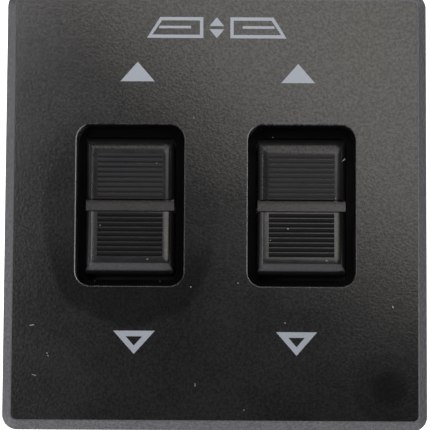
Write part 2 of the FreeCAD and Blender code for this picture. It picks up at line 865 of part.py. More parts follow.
def all_nodes():
    """Every piece of the switch under its own name."""
    nodes = {
        "face_plate": make_face_plate(),
        "switch_housing": make_switch_housing(),
        "terminal_base": make_terminal_base(),
        "terminal_supply": make_supply_terminal(),
        "terminal_earth": make_earth_terminal(),
        "cover_screws": make_cover_screws(),
        "spring_clip_left": make_spring_clip(-1),
        "spring_clip_right": make_spring_clip(1),
    }
    ends = {"upper": 1, "lower": -1}
    for name, x in rocker_centres.items():
        nodes["rocker_" + name] = make_rocker(x)
        nodes["pivot_pin_" + name] = make_pivot_pin(x)
        nodes["contact_carriage_" + name] = make_carriage(x)
        for end, side in ends.items():
            nodes["return_spring_" + name + "_" + end] = make_return_spring(x, side)
        nodes["bridge_contact_" + name + "_up"] = make_bridge_contact(x, -1)
        nodes["bridge_contact_" + name + "_down"] = make_bridge_contact(x, 1)
        nodes["terminal_" + name + "_up"] = make_output_terminal(x, -1)
        nodes["terminal_" + name + "_down"] = make_output_terminal(x, 1)
    return nodes


os.makedirs("parts", exist_ok=True)
for node, shape in all_nodes().items():
    shape.exportStep("parts/" + node + ".step")
    print(node, len(shape.Solids), round(shape.Volume, 2), shape.isValid())
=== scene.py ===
import functools
import json
import math
import random

import bmesh
import bpy
from mathutils import Matrix, Vector

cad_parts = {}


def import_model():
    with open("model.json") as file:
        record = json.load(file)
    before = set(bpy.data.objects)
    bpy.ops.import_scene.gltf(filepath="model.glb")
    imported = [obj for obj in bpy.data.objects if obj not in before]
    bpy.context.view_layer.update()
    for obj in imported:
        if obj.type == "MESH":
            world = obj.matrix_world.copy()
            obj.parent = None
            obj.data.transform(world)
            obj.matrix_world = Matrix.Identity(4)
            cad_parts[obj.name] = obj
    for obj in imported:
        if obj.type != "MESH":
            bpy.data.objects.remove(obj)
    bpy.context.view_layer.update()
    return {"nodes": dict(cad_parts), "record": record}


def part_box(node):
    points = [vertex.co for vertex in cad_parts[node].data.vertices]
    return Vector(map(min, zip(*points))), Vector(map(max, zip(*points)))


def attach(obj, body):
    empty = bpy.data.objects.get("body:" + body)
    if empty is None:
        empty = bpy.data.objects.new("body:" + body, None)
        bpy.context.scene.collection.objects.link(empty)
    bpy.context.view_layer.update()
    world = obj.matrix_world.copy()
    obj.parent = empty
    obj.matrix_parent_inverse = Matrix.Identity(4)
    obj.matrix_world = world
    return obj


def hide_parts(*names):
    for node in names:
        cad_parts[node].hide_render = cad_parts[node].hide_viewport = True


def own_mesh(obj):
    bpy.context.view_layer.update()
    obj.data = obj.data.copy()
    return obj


# Millimetres to metres
MM = 0.001

# Camera, fitted to the outlines of the plate and the rockers, with its angles in degrees
AIM_MM = (-0.12, -0.94, 2.0)
CAMERA_ELEVATION = 82.91
CAMERA_AZIMUTH = -0.36
CAMERA_ROLL = 0.33
CAMERA_DISTANCE_MM = 435.8
CAMERA_CLIP_M = (0.01, 20)
LENS = 236.4
SENSOR = 36.0

# Heights in the part's frame, in millimetres
FACE_Z = 2.6
WELL_LIP_Z = -2.2
WELL_SHADE_Z = (-3.2, -2.8)
PIN_ZONE_Z = -5.5
FLOOR_Z = -30.5

# Arrows printed on the face: middle x, base y, width and height in millimetres
UP_ARROWS = {
    "arrow_up_left": (-12.24, 19.81, 5.32, 3.07),
    "arrow_up_right": (12.66, 19.66, 5.24, 3.02),
}
DOWN_ARROWS = {
    "arrow_down_left": (-12.45, -18.96, 6.38, -3.58),
    "arrow_down_right": (12.49, -19.06, 6.30, -3.62),
}
ARROW_STROKE = 0.86
PRINT_THICKNESS = 0.012

# Window symbols printed above the arrows: lowest and highest y, nearest and farthest x, the run of
# the front post for each millimetre of height, the bar across the glass (its place as a share of the
# height, its inset and its half thickness), and the double arrow between the windows
SYMBOL_Y = (26.67, 29.97)
SYMBOL_X = (2.1, 10.84)
SYMBOL_STROKE = 0.52
POST_SLOPE = 0.62
GLASS_LEVEL = 0.52
GLASS_INSET = 1.9
GLASS_HALF = 0.2
TRAVEL_GAP = 0.25
TRAVEL_WIDTH = 2.3

# Rockers: their middle, the edge of the bar from the middle, and the slope and root of the pads
ROCKER_X = 13.25
ROCKER_Y = 0.5
BAR_EDGE = (0.744, 0.806)
PAD_SLOPE = 0.0819
PAD_ROOT = 1.4365

# Ribbed fields: how far they reach sideways and along, and how deep a groove starts
FIELD_SIDE = (5.04, 5.06)
FIELD_END = (8.1, 8.15)
GROOVE_DROP = (0.0, 0.02)

# Pads' relief that is only shaded: where it starts from the middle, and how far it drops one
# millimetre beyond, which grows with the square; below zero the surface turns up
LEFT_CROWN = (5.35, 0.1)
RIGHT_CROWN = (5.1, 0.2)
SIDE_LIFT = (6.0, -0.27)
END_CROWN = (8.1, 0.11)
UPPER_END_LIFT = (8.9, -0.22)
LOWER_END_LIFT = (9.2, -0.3)

# Gloss that the rockers lose: on the crests and in the grooves of the lower and the upper pad, on
# the smooth strip left of the upper one, at the pads' ends and lower corners, and on the upper half
# of the bar
PAD_CHANGE = (-0.1, 0.1)
CREST_DULL = (0.09, 0.03)
GROOVE_DULL = (0.35, 0.29)
LEFT_STRIP = (-5.5, -5.1)
STRIP_START = (-0.1, 0.775)
UPPER_END = (8.2, 8.8)
UPPER_DULL = 0.24
FOOT_START = (9.0, 9.4)
FOOT_EDGE = (9.7, 10.3)
FOOT_CORNER = (5.6, 6.8)
FOOT_DULL = 0.3
BAR_TOP = (0.0775, 0.8525)
BAR_TOP_DULL = 0.3

# Rockers' colours from dark to light, their roughness and speckled gloss, and the depth of their
# pebbles in millimetres
ROCKER_COLOURS = ((0.0045, 0.0045, 0.0048, 1), (0.0065, 0.0064, 0.0062, 1))
BAR_COLOURS = ((0.003, 0.0029, 0.0026, 1), (0.022, 0.021, 0.019, 1))
ROCKER_ROUGH = (0.22, 0.26)
BAR_ROUGH = 0.1
GROOVE_ROUGH = 0.12
SPECKLE_GLOSS = (-0.07, 0.07)
ROCKER_PEBBLE_DEPTH = 0.003

# Plate's colours from dark to light, the grain's share in them, its roughness, and the gloss and
# depth in millimetres of its grain and pebbles
PLATE_COLOURS = ((0.0012, 0.0012, 0.0012, 1), (0.0062, 0.0061, 0.0058, 1))
GRAIN_TONE = 0.7
PLATE_ROUGH = (0.22, 0.25)
FINE_ROUGH = 0.02
GRAIN_GLOSS = (0.40, 0.58)
GRAIN_DEPTH = 0.018
PLATE_PEBBLE_GLOSS = (-0.03, 0.03)
PLATE_PEBBLE_DEPTH = 0.004

# Broken edges of the openings, by distance from an opening's middle and by their drop below the
# face: a painted highlight, paler and glossier, at the left and the foot, and dull at the top
RIM_REACH = (12.8, 13.0)
RIM_SIDE_REACH = (8.7, 8.9)
RIM_DROP = (0.005, 0.02)
LIT_RIM_END = (-8.0, -6.6)
LIT_RIM_FOOT = (-12.5, -11.6)
LIT_RIM_FOOT_SHARE = 0.6
RIM_HIGHLIGHT_GREY = 0.055
RIM_HIGHLIGHT_GLOSS = 0.5
DULL_RIM_START = (10.5, 12.3)
DULL_GLOSS = -0.4

# Darker patches on the face: middle x and y, the two radii and the softness of the edge. The large
# one is a painted dark reflection with a wavy edge. It fades upwards over RISE, by a loss that grows
# to the right over ACROSS, and ends over TOP. The small one is a round mark with a dark core
DARK_REFLECTION_PATCH = (-13.2, -1.2, 13.3, 16.6, 0.05)
DARK_MARK_CORE = (26.7, -27.6, 3.0, 3.0, 0.5)
DARK_MARK_RING = (26.7, -27.6, 5.4, 5.4, 0.06)
REFLECTION_RISE = (-12.0, -3.0)
REFLECTION_ACROSS = (-20.0, -8.0)
REFLECTION_LOSS = (0.35, 0.85)
REFLECTION_TOP = (3.0, 11.0)
REFLECTION_WAVE = 0.4
PATCH_STRENGTH = 0.85
RING_STRENGTH = 0.35
DARK_PATCH_TINT = 0.8
DARK_PATCH_ROUGH = -0.07

# Housing: greys of the plastic, of its fibres and of the painted shade at the wells' edges, how much
# of the fibres shows and how dull the edges are
HOUSING_GREYS = (0.013, 0.022)
HOUSING_ROUGH = (0.48, 0.58)
FIBRE_SHOWS = (0.62, 0.75)
FIBRE_SHARE = 0.4
FIBRE_GREY = 0.05
FIBRE_DEPTH = 0.004
WELL_SHADE_GREY = 0.0015
WELL_DULL = 0.43

# Carriages, ink, dust and floor: colours from dark to light, roughness, the depth of their relief in
# millimetres, and the size of the floor
CARRIAGE_COLOURS = ((0.68, 0.64, 0.54, 1), (0.76, 0.73, 0.65, 1))
CARRIAGE_ROUGH = (0.3, 0.42)
CARRIAGE_DEPTH = 0.003
INK_COLOURS = ((0.197, 0.218, 0.242, 1), (0.245, 0.267, 0.292, 1))
INK_ROUGH = (0.48, 0.58)
INK_THIN = (0.60, 0.78)
INK_THIN_SHARE = 0.45
INK_THIN_GREY = 0.13
INK_DEPTH = 0.002
DUST_COLOURS = ((0.25, 0.24, 0.21, 1), (0.5, 0.49, 0.46, 1))
FLOOR_GREYS = (0.86, 0.88)
FLOOR_SIZE_M = 3.0

# Metals: dark and light colour, stretch of the streaks, roughness, and the height above which the
# metal is black, as the rockers' pins are above the plated screws
METALS = {
    "steel": ((0.46, 0.46, 0.45, 1), (0.60, 0.60, 0.57, 1), (1, 1, 0.1), 0.3, PIN_ZONE_Z),
    "spring_steel": ((0.20, 0.20, 0.21, 1), (0.27, 0.27, 0.28, 1), (1, 0.1, 1), 0.36),
    "copper": ((0.60, 0.30, 0.19, 1), (0.80, 0.45, 0.30, 1), (1, 0.1, 1), 0.28),
    "brass": ((0.62, 0.46, 0.20, 1), (0.80, 0.64, 0.34, 1), (1, 1, 0.1), 0.27),
}
TARNISH_SPREAD = (0.2, 0.8)
TARNISH_ROUGH = (-0.02, 0.03)
STREAK_ROUGH = 0.08
STREAK_DEPTH = 0.003
BLACK_STEEL_GREY = 0.02

# The part of its range that most of a noise fills, the gloss of plastic that nothing dulls, and the
# radius to which edges are softened on finer and coarser pieces
NOISE_SPREAD = (0.3, 0.7)
PLASTIC_GLOSS = 0.5
SHARP_EDGE_MM = 0.05
SOFT_EDGE_MM = 0.08

# Return springs, and the share of the coil over which the wire climbs between its flat ends
SPRING_WIRE = 0.24
SPRING_TURNS = 5.5
SPRING_STEPS = 24
SPRING_WIRE_SIDES = 8
SPRING_CLIMB = (0.09, 0.91)

# Studio around the part, by height above the horizon: a low glow that is strongest between +X and
# +Y, a bright band that ends toward +Y, a window toward -Y above it, and a faint fill over all
GLOW_STRENGTH = 2.5
GLOW_LEAN = (3.5, 2.5)
GLOW_EDGES = (0.03, 0.08)
BAND_STRENGTH = 2.2
BAND_LEAN = (-0.6, -1.8)
BAND_OPENING = (0.3, 0.8)
BAND_EDGES = (0.27, 0.33)
WINDOW_STRENGTH = 1.4
WINDOW_EDGES = (-0.36, -0.22)
FILL_STRENGTH = 0.15
FILL_LEAN = (-0.8, 0.0)
STUDIO_COLOUR = (0.95, 0.93, 1.0, 1.0)

# Soft panels of the studio's ceiling: x, y, width, height, turn in degrees, power and colour
CEILING_MM = 120
CEILING_PANELS = {
    "panel_broad": (39.5, 73.5, 120.9, 111.2, -40.2, 0.127, (1.0, 0.98, 0.92)),
    "panel_narrow": (-64.0, -7.7, 8.0, 200.0, -12.0, 0.0603, (1.0, 0.98, 0.99)),
}

# Dust, small scratches and pale specks on the wells' lips: x, y, length, width and direction in degrees
GRAIN_THICKNESS = 0.02
GRAIN_CORNERS = 7
GRAIN_REACH = (0.7, 1.1)
SCRATCH_SEED = 7
LEFT_ROCKER_GRAINS = [
    (-17.86, -2.58, 0.16, 0.12, 0),
    (-9.2, 7.1, 0.14, 0.10, 60),
    (-10.5, -7.85, 0.26, 0.09, 5),
]
RIGHT_ROCKER_GRAINS = [
    (11.15, -3.0, 0.20, 0.16, 15),
    (8.45, -4.8, 0.18, 0.12, 0),
    (18.5, 1.75, 0.14, 0.12, 0),
    (19.75, 7.75, 0.75, 0.07, 48),
    (17.1, -7.95, 0.30, 0.09, 0),
]
WELL_LIP_SPECKS = [
    (-18.75, -10.85, 0.20, 0.16, 0),
    (-8.6, -10.85, 0.20, 0.16, 0),
    (8.85, 11.8, 0.20, 0.14, 30),
]
SCRATCHES = [
    (27.28, -15.09, 0.55, 0.13, 105),
    (10.71, -17.65, 0.22, 0.14, 20),
    (-28.09, -18.18, 0.95, 0.10, 8),
    (-25.73, -22.47, 0.30, 0.08, 170),
    (-25.60, -22.85, 0.38, 0.06, 150),
    (-27.68, -25.85, 0.85, 0.08, -12),
    (-3.03, -27.24, 0.60, 0.07, 95),
    (4.48, -31.02, 0.16, 0.12, 0),
    (-3.46, 14.09, 0.15, 0.11, 40),
    (-3.75, -12.18, 0.20, 0.15, 0),
    (3.47, -11.53, 0.20, 0.14, 60),
]


class Graph:
    """A node tree under construction. Its values are numbers or the outputs of nodes."""

    def __init__(self, tree):
        self.tree = tree
        tree.nodes.clear()

    def put(self, node, sockets):
        """Sets or links a node's inputs by number or by name, with underscores for its spaces."""
        for key, value in sockets.items():
            socket = node.inputs[key.replace("_", " ") if isinstance(key, str) else key]
            if isinstance(value, bpy.types.NodeSocket):
                self.tree.links.new(value, socket)
            else:
                socket.default_value = value

    def node(self, kind, sockets=(), **settings):
        """A new node with its settings and inputs."""
        made = self.tree.nodes.new(kind)
        for key, value in settings.items():
            setattr(made, key, value)
        self.put(made, dict(sockets))
        return made

    def math(self, operation, *values):
        """One arithmetic step."""
        return self.node("ShaderNodeMath", enumerate(values), operation=operation).outputs[0]

    def chain(self, operation, values):
        """One operation carried through any number of values."""
        return functools.reduce(lambda first, second: self.math(operation, first, second), values)

    def add(self, *values):
        """The sum of values."""
        return self.chain("ADD", values)

    def multiply(self, *values):
        """The product of values."""
        return self.chain("MULTIPLY", values)

    def greatest(self, *values):
        """The greatest of values."""
        return self.chain("MAXIMUM", values)

    def subtract(self, value, less):
        """A value with another taken off."""
        return self.math("SUBTRACT", value, less)

    def rest(self, share):
        """What a share leaves of 1."""
        return self.subtract(1.0, share)

    def size(self, value):
        """A value without its sign."""
        return self.math("ABSOLUTE", value)

    def span(self, value, low, high, new_low, new_high):
        """Carries value smoothly from one range to another, held inside the new one."""
        return self.node("ShaderNodeMapRange", enumerate((value, low, high, new_low, new_high)),
                         interpolation_type="SMOOTHSTEP").outputs[0]

    def rise(self, value, edges, top=1.0):
        """0 before the edges and top beyond them."""
        return self.span(value, *edges, 0.0, top)

    def fall(self, value, edges, top=1.0):
        """Top before the edges and 0 beyond them."""
        return self.span(value, *edges, top, 0.0)

    def mix(self, share, first, second):
        """A mix of two numbers, through the node's sockets for numbers."""
        return self.node("ShaderNodeMix", {0: share, 2: first, 3: second}).outputs[0]

    def blend(self, share, first, second):
        """A mix of two colours, through the node's sockets for colours."""
        made = self.node("ShaderNodeMix", {0: share, 6: first, 7: second}, data_type="RGBA")
        return made.outputs[2]


class Shader(Graph):
    """A material under construction, with one principled surface."""

    def __init__(self, name, **sockets):
        self.material = bpy.data.materials.new(name)
        self.material.use_nodes = True
        super().__init__(self.material.node_tree)
        self.surface = self.node("ShaderNodeBsdfPrincipled", sockets)
        self.node("ShaderNodeOutputMaterial", {"Surface": self.surface.outputs["BSDF"]})
        self.place = self.node("ShaderNodeTexCoord").outputs["Object"]

    def coat(self, **sockets):
        """Sets or links the surface's own inputs."""
        self.put(self.surface, sockets)

    def noise(self, size_mm, detail=2.0, stretch=(1, 1, 1), roughness=0.5):
        """Noise whose features are about size_mm across, in the object's own place."""
        spread = self.node("ShaderNodeMapping", {"Vector": self.place, "Scale": stretch})
        return self.node("ShaderNodeTexNoise", {
            "Vector": spread.outputs[0], "Scale": 1 / (size_mm * MM),
            "Detail": detail, "Roughness": roughness}).outputs[0]

    def vary(self, noise, low, high):
        """Spreads a noise over a range."""
        return self.span(noise, *NOISE_SPREAD, low, high)

    def axis(self, index):
        """The part's own x, y or z in millimetres."""
        parts = self.node("ShaderNodeSeparateXYZ", {0: self.place})
        return self.math("DIVIDE", parts.outputs[index], MM)

    def spot(self, x, y, radius_x, radius_y, soft, wave=0.0):
        """1 inside an oval on the face and 0 outside it, in millimetres."""
        across = self.math("MULTIPLY_ADD", self.axis(0), 1 / radius_x, -x / radius_x)
        along = self.math("MULTIPLY_ADD", self.axis(1), 1 / radius_y, -y / radius_y)
        squares = self.add(self.multiply(across, across), self.multiply(along, along))
        return self.fall(self.add(self.math("SQRT", squares), wave), (1 - soft, 1 + soft))

    def crown(self, reach, start, curve):
        """The drop in millimetres, as a height, of a surface that curves down beyond a start."""
        beyond = self.greatest(self.subtract(reach, start), 0.0)
        return self.multiply(beyond, beyond, -curve)

    def bump(self, *layers, edge_mm=0.0):
        """Relief from (height, depth in millimetres) layers, over softened edges if asked for."""
        normal = None
        if edge_mm:
            normal = self.node("ShaderNodeBevel", {"Radius": edge_mm * MM}, samples=6).outputs[0]
        for height, depth_mm in layers:
            made = self.node("ShaderNodeBump", {"Height": height, "Distance": depth_mm * MM})
            if normal is not None:
                self.put(made, {"Normal": normal})
            normal = made.outputs[0]
        self.coat(Normal=normal)


def grey(level):
    """An opaque grey."""
    return (level, level, level, 1.0)


def beside_rocker(shader):
    """How far a place lies to the right of the nearer rocker's middle, in millimetres."""
    x = shader.axis(0)
    return shader.subtract(x, shader.multiply(shader.math("SIGN", x), ROCKER_X))


def above_rocker(shader):
    """How far up the plate a place lies from the rockers' middle, in millimetres."""
    return shader.subtract(shader.axis(1), ROCKER_Y)


def opening_rims(shader):
    """Two masks of the openings' broken edges: the left and lower ones, painted paler as a highlight,
    and the dull upper ones.
    """
    sideways = beside_rocker(shader)
    upwards = above_rocker(shader)
    drop = shader.subtract(FACE_Z, shader.axis(2))
    on_edge = shader.multiply(shader.rise(drop, RIM_DROP), shader.fall(shader.size(upwards), RIM_REACH),
                              shader.fall(shader.size(sideways), RIM_SIDE_REACH))
    rim_highlight = shader.greatest(shader.fall(sideways, LIT_RIM_END),
                           shader.fall(upwards, LIT_RIM_FOOT, LIT_RIM_FOOT_SHARE))
    dull = shader.rise(upwards, DULL_RIM_START)
    return shader.multiply(on_edge, rim_highlight), shader.multiply(on_edge, dull)


def reflection_patch_strength(shader):
    """The large painted dark reflection is full at its foot, weaker up its left side and nearly gone on
    its right.
    """
    lost = shader.multiply(shader.rise(shader.axis(1), REFLECTION_RISE),
                           shader.span(shader.axis(0), *REFLECTION_ACROSS, *REFLECTION_LOSS))
    return shader.multiply(shader.rest(lost), shader.fall(shader.axis(1), REFLECTION_TOP), PATCH_STRENGTH)


def dark_patches(shader):
    """How far the face is darkened: a large patch, which is a painted dark reflection, and a round mark
    with a dark core.
    """
    wave = shader.multiply(shader.subtract(shader.noise(size_mm=8.0), 0.5), REFLECTION_WAVE)
    patch = shader.multiply(shader.spot(*DARK_REFLECTION_PATCH, wave), reflection_patch_strength(shader))
    ring = shader.multiply(shader.spot(*DARK_MARK_RING), RING_STRENGTH)
    return shader.greatest(patch, shader.spot(*DARK_MARK_CORE), ring)


def plate_plastic():
    """Satin black moulding with a fine leathery grain, darkened by a painted dark reflection and a round
    mark, with painted highlights on the openings' rims.
    """
    shader = Shader("plate_plastic", IOR=1.5)
    cloud = shader.noise(size_mm=9.0, detail=3)
    fine = shader.noise(size_mm=0.5)
    grain = shader.noise(size_mm=0.42, roughness=0.6)
    pebble = shader.noise(size_mm=0.15, detail=1)
    dark_patch = dark_patches(shader)
    rim_highlight, dull = opening_rims(shader)
    tone = shader.add(shader.vary(cloud, 0.0, 1 - GRAIN_TONE), shader.vary(grain, 0.0, GRAIN_TONE))
    colour = shader.blend(tone, *PLATE_COLOURS)
    # Painted dark reflection: the large patch darkens the colour, as does the round mark
    colour = shader.blend(shader.multiply(dark_patch, DARK_PATCH_TINT), colour, PLATE_COLOURS[0])
    # Painted highlight: the openings' left and lower rims are made paler and glossier
    colour = shader.blend(rim_highlight, colour, grey(RIM_HIGHLIGHT_GREY))
    rough = shader.add(shader.vary(cloud, *PLATE_ROUGH), shader.multiply(fine, FINE_ROUGH),
                       shader.multiply(dark_patch, DARK_PATCH_ROUGH))
    gloss = shader.add(shader.vary(grain, *GRAIN_GLOSS), shader.vary(pebble, *PLATE_PEBBLE_GLOSS),
                       shader.multiply(rim_highlight, RIM_HIGHLIGHT_GLOSS), shader.multiply(dull, DULL_GLOSS))
    shader.coat(Base_Color=colour, Roughness=rough, Specular_IOR_Level=gloss)
    shader.bump((grain, GRAIN_DEPTH), (pebble, PLATE_PEBBLE_DEPTH), edge_mm=SHARP_EDGE_MM)
    return shader.material


def rocker_zones(shader, sideways, upwards):
    """Masks of the buttons' bar, of the ribbed fields on their pads and of the grooves in those."""
    along = shader.size(upwards)
    bar = shader.fall(along, BAR_EDGE)
    field = shader.multiply(shader.fall(shader.size(sideways), FIELD_SIDE),
                            shader.fall(along, FIELD_END), shader.rest(bar))
    crests = shader.math("MULTIPLY_ADD", along, PAD_SLOPE, PAD_ROOT)
    depth = shader.subtract(crests, shader.axis(2))
    return bar, field, shader.multiply(shader.rise(depth, GROOVE_DROP), field)


def margin_dullness(shader, sideways, upwards):
    """What the smooth margins of the pads lose in gloss: left strip, upper end, foot and its corners."""
    downwards = shader.multiply(upwards, -1.0)
    strip = shader.multiply(shader.fall(sideways, LEFT_STRIP),
                            shader.rise(upwards, STRIP_START, UPPER_DULL))
    corners = shader.multiply(shader.rise(shader.size(sideways), FOOT_CORNER, FOOT_DULL),
                              shader.rise(downwards, FOOT_START))
    return shader.greatest(strip, shader.rise(upwards, UPPER_END, UPPER_DULL),
                           shader.rise(downwards, FOOT_EDGE, FOOT_DULL), corners)


def rocker_gloss(shader, sideways, upwards, bar, field, groove):
    """The buttons' gloss, with all that dulls it taken off."""
    crests = shader.multiply(field, shader.span(upwards, *PAD_CHANGE, *CREST_DULL))
    grooves = shader.multiply(groove, shader.span(upwards, *PAD_CHANGE, *GROOVE_DULL))
    margins = shader.multiply(margin_dullness(shader, sideways, upwards), shader.rest(bar))
    bar_top = shader.multiply(bar, shader.rise(upwards, BAR_TOP, BAR_TOP_DULL))
    return shader.subtract(PLASTIC_GLOSS, shader.add(crests, grooves, margins, bar_top))


def pad_relief(shader, sideways, upwards):
    """The pads' shaded relief: crowns toward the sides and ends, turned up again near the edges."""
    return shader.add(
        shader.crown(sideways, *RIGHT_CROWN),
        shader.crown(shader.multiply(sideways, -1.0), *LEFT_CROWN),
        shader.crown(shader.size(sideways), *SIDE_LIFT),
        shader.crown(shader.size(upwards), *END_CROWN),
        shader.crown(upwards, *UPPER_END_LIFT),
        shader.crown(shader.multiply(upwards, -1.0), *LOWER_END_LIFT))


def rocker_plastic():
    """Smooth black moulding of the buttons: crowned pads with dull grooves, and a dry bar speckled with
    wear.
    """
    shader = Shader("rocker_plastic", IOR=1.5)
    cloud = shader.noise(size_mm=3.0, detail=3)
    pebble = shader.noise(size_mm=0.16)
    speckle = shader.noise(size_mm=0.35)
    sideways = beside_rocker(shader)
    upwards = above_rocker(shader)
    bar, field, groove = rocker_zones(shader, sideways, upwards)
    colour = shader.blend(cloud, *ROCKER_COLOURS)
    colour = shader.blend(bar, colour, shader.blend(speckle, *BAR_COLOURS))
    rough = shader.add(shader.vary(cloud, *ROCKER_ROUGH), shader.multiply(bar, BAR_ROUGH),
                       shader.multiply(groove, GROOVE_ROUGH))
    gloss = shader.add(rocker_gloss(shader, sideways, upwards, bar, field, groove),
                       shader.multiply(shader.vary(speckle, *SPECKLE_GLOSS), shader.rest(groove)))
    shader.coat(Base_Color=colour, Roughness=rough, Specular_IOR_Level=gloss)
    relief = shader.multiply(pad_relief(shader, sideways, upwards), shader.rest(bar))
    shader.bump((relief, 1.0), (pebble, ROCKER_PEBBLE_DEPTH), edge_mm=SHARP_EDGE_MM)
    return shader.material


def housing_plastic():
    """Plain black glass-filled moulding, with short fibres faintly showing, and well edges dull and
    darkened as painted shade.
    """
    shader = Shader("housing_plastic", IOR=1.45)
    cloud = shader.noise(size_mm=5.0, detail=3)
    fibre = shader.noise(size_mm=0.12, detail=1, stretch=(1, 0.18, 0.5))
    well_shade = shader.rise(shader.axis(2), WELL_SHADE_Z)
    colour = shader.blend(cloud, *map(grey, HOUSING_GREYS))
    colour = shader.blend(shader.rise(fibre, FIBRE_SHOWS, FIBRE_SHARE), colour, grey(FIBRE_GREY))
    # Painted shade: the housing near the top of the wells is darkened
    colour = shader.blend(well_shade, colour, grey(WELL_SHADE_GREY))
    gloss = shader.subtract(PLASTIC_GLOSS, shader.multiply(well_shade, WELL_DULL))
    shader.coat(Base_Color=colour, Roughness=shader.vary(cloud, *HOUSING_ROUGH),
                Specular_IOR_Level=gloss)
    shader.bump((fibre, FIBRE_DEPTH), edge_mm=SOFT_EDGE_MM)
    return shader.material


def carriage_plastic():
    """Natural slippery plastic, ivory and slightly waxy."""
    shader = Shader("carriage_plastic", IOR=1.48, Subsurface_Weight=0.15, Subsurface_Scale=MM)
    cloud = shader.noise(size_mm=2.5, detail=3)
    shader.coat(Base_Color=shader.blend(cloud, *CARRIAGE_COLOURS),
                Roughness=shader.vary(cloud, *CARRIAGE_ROUGH))
    shader.bump((shader.noise(size_mm=0.3), CARRIAGE_DEPTH), edge_mm=SOFT_EDGE_MM)
    return shader.material


def metal(name, dark, light, stretch, rough, black_above=None):
    """Stamped or drawn metal with streaks along one direction and cloudy tarnish."""
    shader = Shader(name, Metallic=1.0)
    cloud = shader.noise(size_mm=2.2, detail=4)
    streak = shader.noise(size_mm=0.2, stretch=stretch)
    colour = shader.blend(cloud, dark, light)
    if black_above is not None:
        black = shader.math("GREATER_THAN", shader.axis(2), black_above)
        colour = shader.blend(black, colour, grey(BLACK_STEEL_GREY))
    rough = shader.add(shader.span(cloud, *TARNISH_SPREAD, *TARNISH_ROUGH),
                       shader.multiply(streak, STREAK_ROUGH), rough)
    shader.coat(Base_Color=colour, Roughness=rough)
    shader.bump((streak, STREAK_DEPTH), edge_mm=SHARP_EDGE_MM)
    return shader.material


def print_ink():
    """Light grey pad-printed ink, a little thin in places."""
    shader = Shader("print_ink", IOR=1.48)
    thin = shader.noise(size_mm=0.35, detail=3, roughness=0.65)
    cloud = shader.noise(size_mm=3.5)
    colour = shader.blend(cloud, *INK_COLOURS)
    colour = shader.blend(shader.rise(thin, INK_THIN, INK_THIN_SHARE), colour, grey(INK_THIN_GREY))
    shader.coat(Base_Color=colour, Roughness=shader.vary(cloud, *INK_ROUGH))
    shader.bump((shader.noise(size_mm=0.15), INK_DEPTH))
    return shader.material


def dust_material():
    """Pale dust and scuffed plastic, and the pale specks on the wells' lips."""
    shader = Shader("dust", Roughness=0.9)
    shader.coat(Base_Color=shader.blend(shader.noise(size_mm=0.1), *DUST_COLOURS))
    return shader.material


def floor_material():
    """A pale studio floor that glows a little, so that it stays near white."""
    shader = Shader("studio_floor", Roughness=0.9, Emission_Color=grey(1.0), Emission_Strength=1.0)
    shader.coat(Base_Color=shader.blend(shader.noise(size_mm=60.0), *map(grey, FLOOR_GREYS)))
    return shader.material


def mesh_object(name, work, material):
    """An object in the scene, made from a finished bmesh."""
    mesh = bpy.data.meshes.new(name)
    work.to_mesh(mesh)
    work.free()
    mesh.materials.append(material)
    made = bpy.data.objects.new(name, mesh)
    bpy.context.scene.collection.objects.link(made)
    return made


def new_piece(name, mesh_builder, material, body):
    """A mesh object made by mesh_builder, which rides on a body."""
    work = bmesh.new()
    mesh_builder(work)
    bmesh.ops.recalc_face_normals(work, faces=work.faces)
    piece = mesh_object(name, work, material)
    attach(piece, body)
    return piece


def flat_shape(work, outlines, z, thickness):
    """A thin closed plate from one outline, or from an outer and an inner one of equal length."""
    levels = [[[work.verts.new((x * MM, y * MM, height * MM)) for x, y in outline]
               for outline in outlines] for height in (z, z + thickness)]
    count = len(outlines[0])
    for low, high in zip(*levels):
        for index in range(count):
            after = (index + 1) % count
            work.faces.new((low[index], low[after], high[after], high[index]))
    for level in levels:
        if len(level) == 1:
            work.faces.new(level[0])
            continue
        outer, inner = level
        for index in range(count):
            after = (index + 1) % count
            work.faces.new((outer[index], outer[after], inner[after], inner[index]))


def print_shape(name, outlines, ink):
    """One shape printed on the face."""
    new_piece(name, lambda work: flat_shape(work, outlines, FACE_Z, PRINT_THICKNESS), ink, "root")


def inset_triangle(corners, stroke):
    """The corners of a triangle moved inwards by an even stroke."""
    sides = [math.dist(corners[(k + 1) % 3], corners[(k + 2) % 3]) for k in range(3)]
    around = sum(sides)
    middle = [sum(side * corner[axis] for side, corner in zip(sides, corners)) / around
              for axis in (0, 1)]
    (ax, ay), (bx, by), (cx, cy) = corners
    area = abs((bx - ax) * (cy - ay) - (cx - ax) * (by - ay)) / 2
    share = 1 - stroke / (2 * area / around)
    return [(middle[0] + (x - middle[0]) * share, middle[1] + (y - middle[1]) * share)
            for x, y in corners]


def triangle(x, y, width, height):
    """The corners of an arrow head with a level base at y."""
    return [(x - width / 2, y), (x + width / 2, y), (x, y + height)]


def make_arrows(ink):
    """The solid up arrows and the hollow down arrows."""
    for name, size in UP_ARROWS.items():
        print_shape(name, [triangle(*size)], ink)
    for name, size in DOWN_ARROWS.items():
        corners = triangle(*size)
        print_shape(name, [corners, inset_triangle(corners, ARROW_STROKE)], ink)


def window_outline(direction, inset):
    """A door window's outline with a sloping front post, moved inwards by inset."""
    near, far = (direction * reach for reach in SYMBOL_X)
    low, high = SYMBOL_Y
    slope = POST_SLOPE * (high - low)
    run = inset * (math.hypot(1, POST_SLOPE) - POST_SLOPE)
    return [
        (far - direction * (inset + run), low + inset),
        (far - direction * (slope + run), high - inset),
        (near + direction * inset, high - inset),
        (near + direction * inset, low + inset),
    ]


